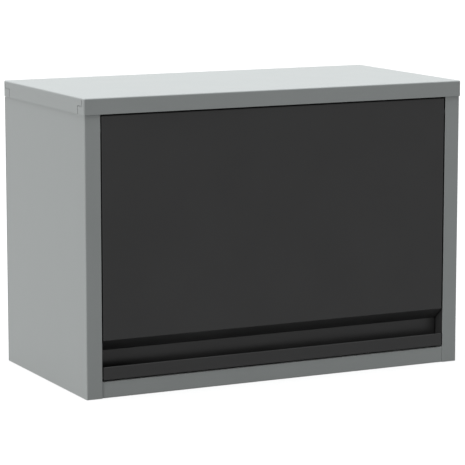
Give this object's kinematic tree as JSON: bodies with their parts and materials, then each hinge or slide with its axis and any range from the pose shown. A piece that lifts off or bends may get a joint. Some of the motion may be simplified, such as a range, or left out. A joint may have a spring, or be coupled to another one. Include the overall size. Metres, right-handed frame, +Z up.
{
  "type": "tool chest",
  "caption": "Sheet-steel tool chest with a light grey powder-coated body and an inset anthracite flip-up door that has a full-width finger groove and is held by slotted friction stays.",
  "frame": {"origin": "centre of the footprint, on the plane that the chest stands on", "axes": "+X to the right seen from the front, front faces -Y, +Z up"},
  "size_m": [0.6, 0.3, 0.42],
  "materials": {
    "grey_powder_coat": "fine-textured satin powder coat, light grey",
    "anthracite_powder_coat": "fine-textured satin powder coat, anthracite",
    "zinc_steel": "zinc-plated steel, satin",
    "rivet_aluminium": "plain aluminium",
    "black_nylon": "moulded nylon, matte black",
    "catch_plastic": "moulded plastic, matte black",
    "magnet_steel": "bare steel pole plates round a ferrite magnet",
    "buffer_rubber": "moulded rubber, matte black"
  },
  "bodies": {
    "cabinet": {"angle_screws": "zinc_steel", "back_panel": "grey_powder_coat", "back_rivets": "rivet_aluminium", "bottom_panel": "grey_powder_coat", "catch_body_left": "catch_plastic", "catch_body_right": "catch_plastic", "catch_magnet_left": "magnet_steel", "catch_magnet_right": "magnet_steel", "catch_screws": "zinc_steel", "frame_nuts": "zinc_steel", "frame_studs": "zinc_steel", "friction_washers_left": "zinc_steel", "friction_washers_right": "zinc_steel", "guide_stud_left": "zinc_steel", "guide_stud_right": "zinc_steel", "hinge_pin_left": "zinc_steel", "hinge_pin_right": "zinc_steel", "hinge_plate_left": "zinc_steel", "hinge_plate_right": "zinc_steel", "hinge_rivets": "zinc_steel", "hinge_washer_left": "black_nylon", "hinge_washer_right": "black_nylon", "jamb_profile_left": "anthracite_powder_coat", "jamb_profile_right": "anthracite_powder_coat", "lid": "grey_powder_coat", "lid_nuts": "zinc_steel", "lid_studs": "zinc_steel", "rear_top_rail": "grey_powder_coat", "side_panel_left": "grey_powder_coat", "side_panel_right": "grey_powder_coat", "stay_bracket_left": "zinc_steel", "stay_bracket_right": "zinc_steel", "stop_angle_left": "zinc_steel", "stop_angle_right": "zinc_steel", "stop_buffer_left": "buffer_rubber", "stop_buffer_right": "buffer_rubber", "thumb_nut_left": "zinc_steel", "thumb_nut_right": "zinc_steel", "top_front_rail": "grey_powder_coat"},
    "door": {"door_bracket_left": "zinc_steel", "door_bracket_right": "zinc_steel", "door_bracket_rivets": "rivet_aluminium", "door_liner": "anthracite_powder_coat", "door_outer_skin": "anthracite_powder_coat", "door_stiffener": "anthracite_powder_coat", "liner_rivets": "rivet_aluminium", "pivot_bushing_left": "black_nylon", "pivot_bushing_right": "black_nylon", "pivot_plate_left": "zinc_steel", "pivot_plate_right": "zinc_steel", "pivot_rivet_left": "zinc_steel", "pivot_rivet_right": "zinc_steel", "pivot_washer_left": "zinc_steel", "pivot_washer_right": "zinc_steel", "striker_screws": "zinc_steel", "strikers": "zinc_steel"},
    "stay_left": {"stay_bar_left": "zinc_steel"},
    "stay_right": {"stay_bar_right": "zinc_steel"}
  },
  "joints": [
    {"name": "door_hinge", "type": "hinge", "parent": "cabinet", "child": "door", "pos_m": [0, -0.1418, 0.375], "axis": [-1, 0, 0], "range_deg": [0, 90]},
    {"name": "stay_left_hinge", "type": "hinge", "parent": "door", "child": "stay_left", "pos_m": [-0.26975, -0.1148, 0.315], "axis": [1, 0, 0], "range_deg": [0, 45]},
    {"name": "stay_right_hinge", "type": "hinge", "parent": "door", "child": "stay_right", "pos_m": [0.26975, -0.1148, 0.315], "axis": [1, 0, 0], "range_deg": [0, 45]}
  ],
  "couplings": [
    {"joint": "stay_left_hinge", "follows": "door_hinge", "ratio": 0.5},
    {"joint": "stay_right_hinge", "follows": "door_hinge", "ratio": 0.5}
  ]
}
